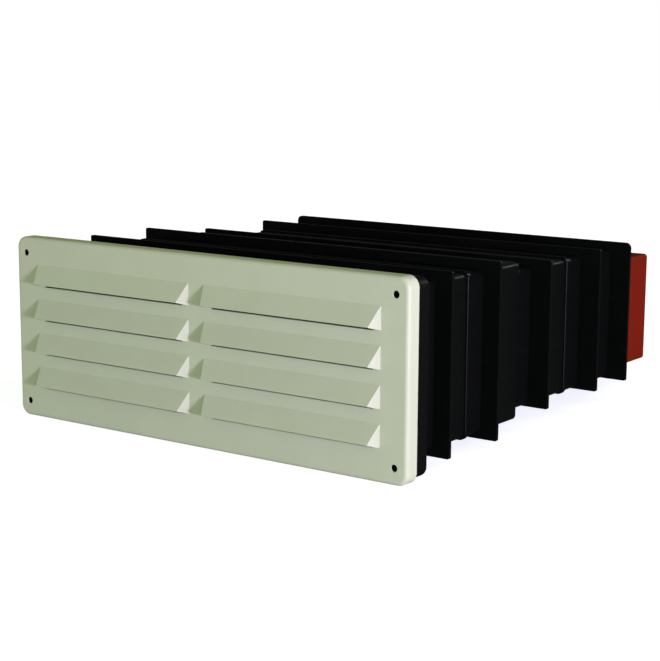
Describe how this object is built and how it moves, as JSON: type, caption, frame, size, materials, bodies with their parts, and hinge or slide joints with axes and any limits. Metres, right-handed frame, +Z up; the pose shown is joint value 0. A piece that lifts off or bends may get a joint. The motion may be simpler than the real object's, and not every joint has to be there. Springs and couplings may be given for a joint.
{
  "type": "telescopic air vent",
  "caption": "Telescopic rectangular duct sleeve with a louvred room-side plate, a front frame and a grilled outer air brick, for airflow through a cavity wall.",
  "frame": {"origin": "centre of the four fixing screws, on the finished face of the wall where the front frame bears", "axes": "+X to the right as seen from the room, +Y into the wall along the duct, +Z up"},
  "size_m": [0.262, 0.3136, 0.1014],
  "materials": {
    "cream_plastic": "semi-gloss moulded, ivory",
    "black_frame_plastic": "satin moulded, black",
    "black_sleeve_plastic": "satin moulded, black",
    "terracotta_plastic": "matt moulded, terracotta red"
  },
  "bodies": {
    "room_end": {"louvre_plate": "cream_plastic", "front_frame": "black_frame_plastic", "outer_sleeve": "black_sleeve_plastic"},
    "weather_end": {"inner_sleeve": "black_sleeve_plastic", "air_brick": "terracotta_plastic"}
  },
  "joints": [
    {"name": "sleeve_slide", "type": "slide", "parent": "room_end", "child": "weather_end", "axis": [0, 1, 0], "range_m": [-0.0115, 0.0845]}
  ]
}
